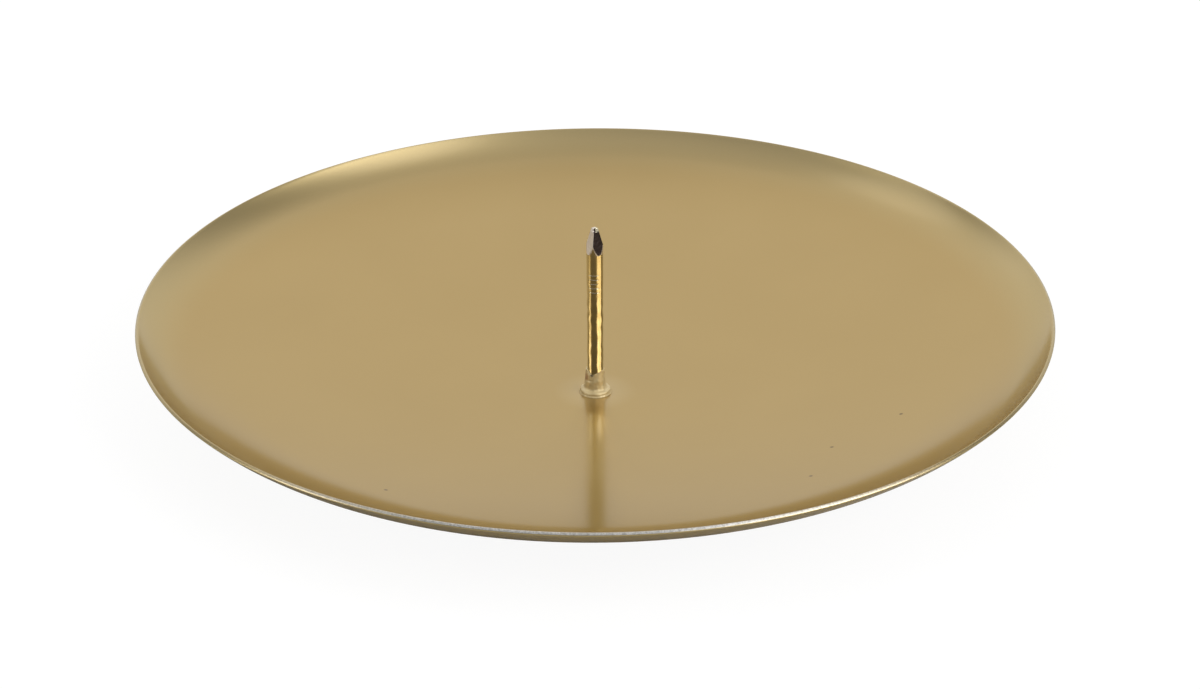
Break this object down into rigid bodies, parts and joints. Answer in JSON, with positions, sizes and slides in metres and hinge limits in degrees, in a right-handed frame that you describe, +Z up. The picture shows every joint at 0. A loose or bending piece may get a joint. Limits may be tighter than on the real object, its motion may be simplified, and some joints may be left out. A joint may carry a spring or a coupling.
{
  "type": "candle plate",
  "caption": "Shallow dished round metal plate with an upturned rim and one upright welded spike that holds a pillar candle.",
  "frame": {"origin": "centre of the flat under the dish, on the surface that the plate stands on", "axes": "+Z up along the spike; the plate is round about it, and -Y faces the picture's camera"},
  "size_m": [0.12, 0.12, 0.0242],
  "materials": {
    "gold_lacquer": "satin gold metallic lacquer on pressed sheet steel",
    "brass_plating": "bright brass plating on a steel pin, bare at the cut point",
    "weld_lacquer": "the plate's lacquer over weld metal"
  },
  "bodies": {
    "root": {"plate": "gold_lacquer", "spike": "brass_plating", "weld_bead": "weld_lacquer"}
  },
  "joints": []
}
